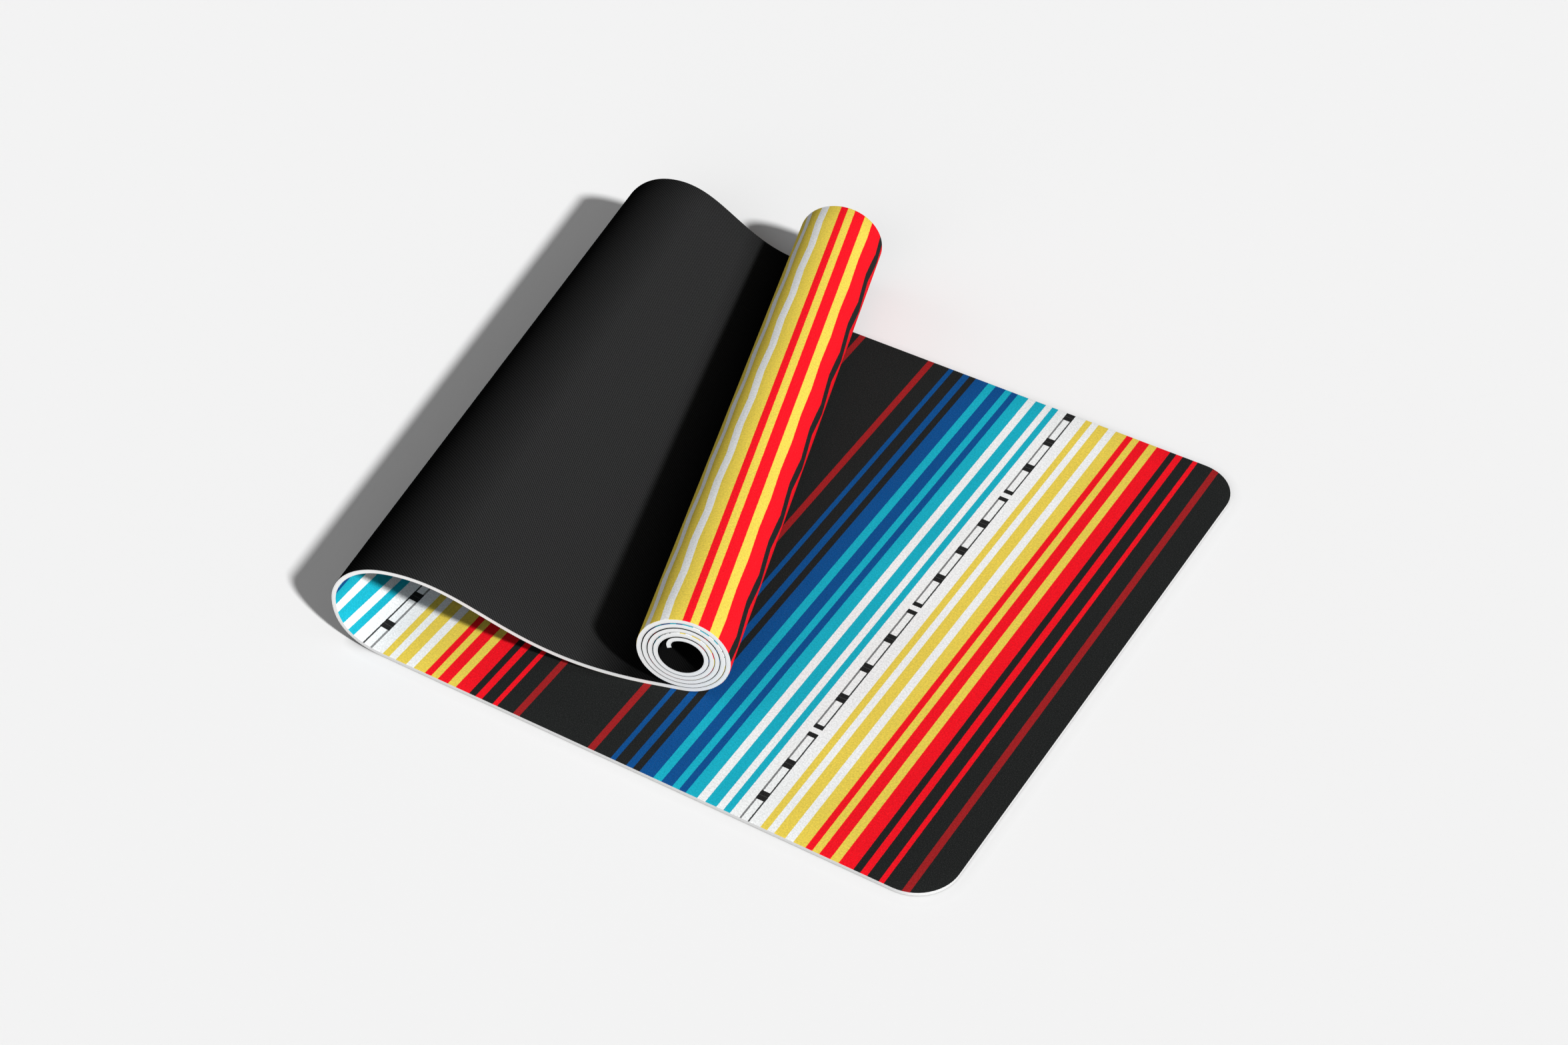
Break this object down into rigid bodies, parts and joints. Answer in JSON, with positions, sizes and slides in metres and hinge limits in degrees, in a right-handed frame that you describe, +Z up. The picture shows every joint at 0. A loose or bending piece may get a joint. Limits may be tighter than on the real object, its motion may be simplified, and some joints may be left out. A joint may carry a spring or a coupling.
{
  "type": "yoga mat",
  "caption": "Striped exercise mat lying half unrolled: flat free end with rounded corners, a slanted open fold that lifts, and a wound roll resting on it.",
  "frame": {"origin": "middle of the bounding box at floor level, on the underside of the flat run", "axes": "+X along the flat run towards its free end, +Y across the mat, +Z up"},
  "size_m": [0.7084, 0.6966, 0.0957],
  "materials": {
    "printed_face": "fine brushed suede-like fabric printed with cross stripes in charcoal, red, yellow, white, teal and blue",
    "cushion_core": "matt off-white foamed rubber, seen at the cut edges",
    "grip_backing": "matt black rubber with a fine diagonal twill texture"
  },
  "bodies": {
    "flat_run": {"flat_run_face": "printed_face", "flat_run_core": "cushion_core", "flat_run_backing": "grip_backing"},
    "rolled_end": {"rolled_end_face": "printed_face", "rolled_end_core": "cushion_core", "rolled_end_backing": "grip_backing"}
  },
  "joints": [
    {"name": "fold_lift", "type": "hinge", "parent": "flat_run", "child": "rolled_end", "pos_m": [-0.26524, -0.34561, 0.04475], "axis": [0.1444, -0.9895, 0], "range_deg": [0, 80]}
  ]
}
